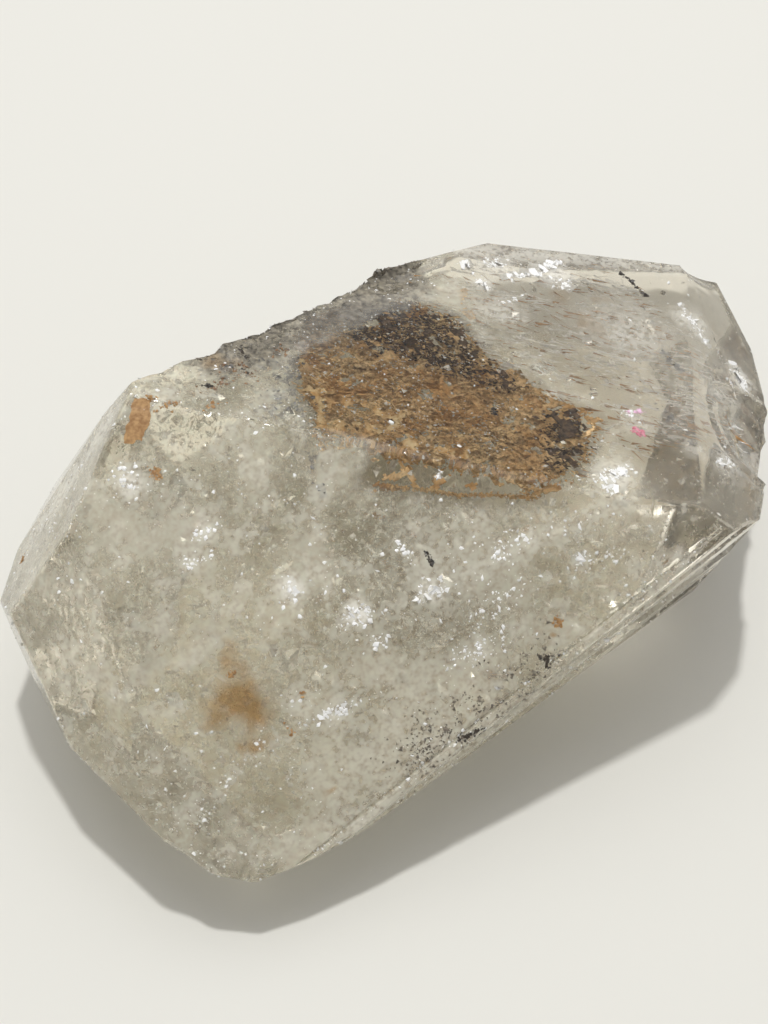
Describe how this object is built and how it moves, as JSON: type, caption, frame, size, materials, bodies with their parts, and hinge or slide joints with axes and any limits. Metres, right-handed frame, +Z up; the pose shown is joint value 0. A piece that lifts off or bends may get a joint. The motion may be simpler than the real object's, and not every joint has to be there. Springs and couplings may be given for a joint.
{
  "type": "doubly terminated rough quartz crystal",
  "caption": "Rough quartz crystal with a point at both ends, cloudy with a clear window, lying on a lower face.",
  "frame": {"origin": "middle of the bounding box, on the surface that the crystal rests on", "axes": "+X along the crystal from the broad cloudy end to the clear end, +Y to the broken crest at the back, +Z up"},
  "size_m": [0.0468, 0.0282, 0.0186],
  "materials": {
    "quartz": "clear to cloudy natural quartz, glossy faces, iron stains inside"
  },
  "bodies": {
    "root": {"crystal": "quartz"}
  },
  "joints": []
}
